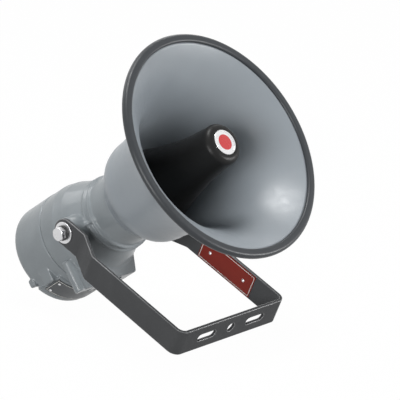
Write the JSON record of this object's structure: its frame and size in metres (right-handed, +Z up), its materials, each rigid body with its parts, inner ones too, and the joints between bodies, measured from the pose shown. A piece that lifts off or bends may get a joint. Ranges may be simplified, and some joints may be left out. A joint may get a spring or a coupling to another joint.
{
  "type": "explosion-proof horn speaker",
  "caption": "Re-entrant horn speaker on a sealed cast driver housing that tilts between the arms of a folded strap bracket.",
  "frame": {"origin": "middle mounting hole of the bracket's bar, on the bar's outer face", "axes": "+Z up as it rests on a table, -Y towards the side the horn's mouth faces, X along the pivot bolts"},
  "size_m": [0.267, 0.3593, 0.3294],
  "materials": {
    "cast_grey": "satin grey enamel over cast aluminium",
    "horn_grey": "smooth satin grey enamel over spun aluminium",
    "edge_rubber": "dull black rubber",
    "cone_black": "satin black moulded plastic",
    "badge": "polished silver",
    "bright_steel": "bright zinc plate",
    "strap_black": "satin black paint on steel",
    "label_red": "dark red plate with a pale border",
    "plate_metal": "dull etched metal",
    "tube_metal": "machined",
    "soft_iron": "plated soft iron",
    "ferrite": "dull dark ceramic magnet",
    "copper": "enamelled copper wire",
    "sintered": "sintered bronze",
    "film": "moulded phenolic",
    "seal_rubber": "black rubber",
    "block_plastic": "black moulding"
  },
  "bodies": {
    "bracket": {"bracket": "strap_black", "label_plate": "label_red", "label_rivets": "bright_steel"},
    "speaker": {"bell": "horn_grey", "rim_trim": "edge_rubber", "cone": "cone_black", "nose_badge": "badge", "nose_bolt": "bright_steel", "spider": "cone_black", "throat_tube": "tube_metal", "tube_screws": "bright_steel", "flame_arrestor": "sintered", "bell_screws": "bright_steel", "bell_gasket": "seal_rubber", "front_housing": "cast_grey", "rear_cover": "cast_grey", "cover_seal": "seal_rubber", "driver_gasket": "seal_rubber", "driver_cap": "tube_metal", "phase_plug": "block_plastic", "surround": "film", "clamp_ring": "tube_metal", "top_plate": "soft_iron", "magnet": "ferrite", "pole_piece": "soft_iron", "driver_screws": "bright_steel", "standoffs": "bright_steel", "chassis_plate": "bright_steel", "transformer_core": "soft_iron", "transformer_winding": "copper", "transformer_clamps": "bright_steel", "terminal_block": "block_plastic", "terminal_screws": "bright_steel", "rating_plate": "plate_metal", "plate_screws": "bright_steel", "pivot_bolt_near": "bright_steel", "pivot_bolt_far": "bright_steel", "lock_washer_near": "bright_steel", "lock_washer_far": "bright_steel", "flat_washer_near": "bright_steel", "flat_washer_far": "bright_steel"},
    "moving_coil": {"diaphragm": "film", "voice_coil": "copper"}
  },
  "joints": [
    {"name": "bracket_swivel", "type": "hinge", "parent": "bracket", "child": "speaker", "pos_m": [0, 0.18723, 0.08828], "axis": [1, 0, 0], "range_deg": [-260, 25]},
    {"name": "diaphragm_travel", "type": "slide", "parent": "speaker", "child": "moving_coil", "axis": [0, -0.829, 0.5592], "range_m": [-0.0004, 0.0004], "stiffness_N_per_m": 5000}
  ]
}
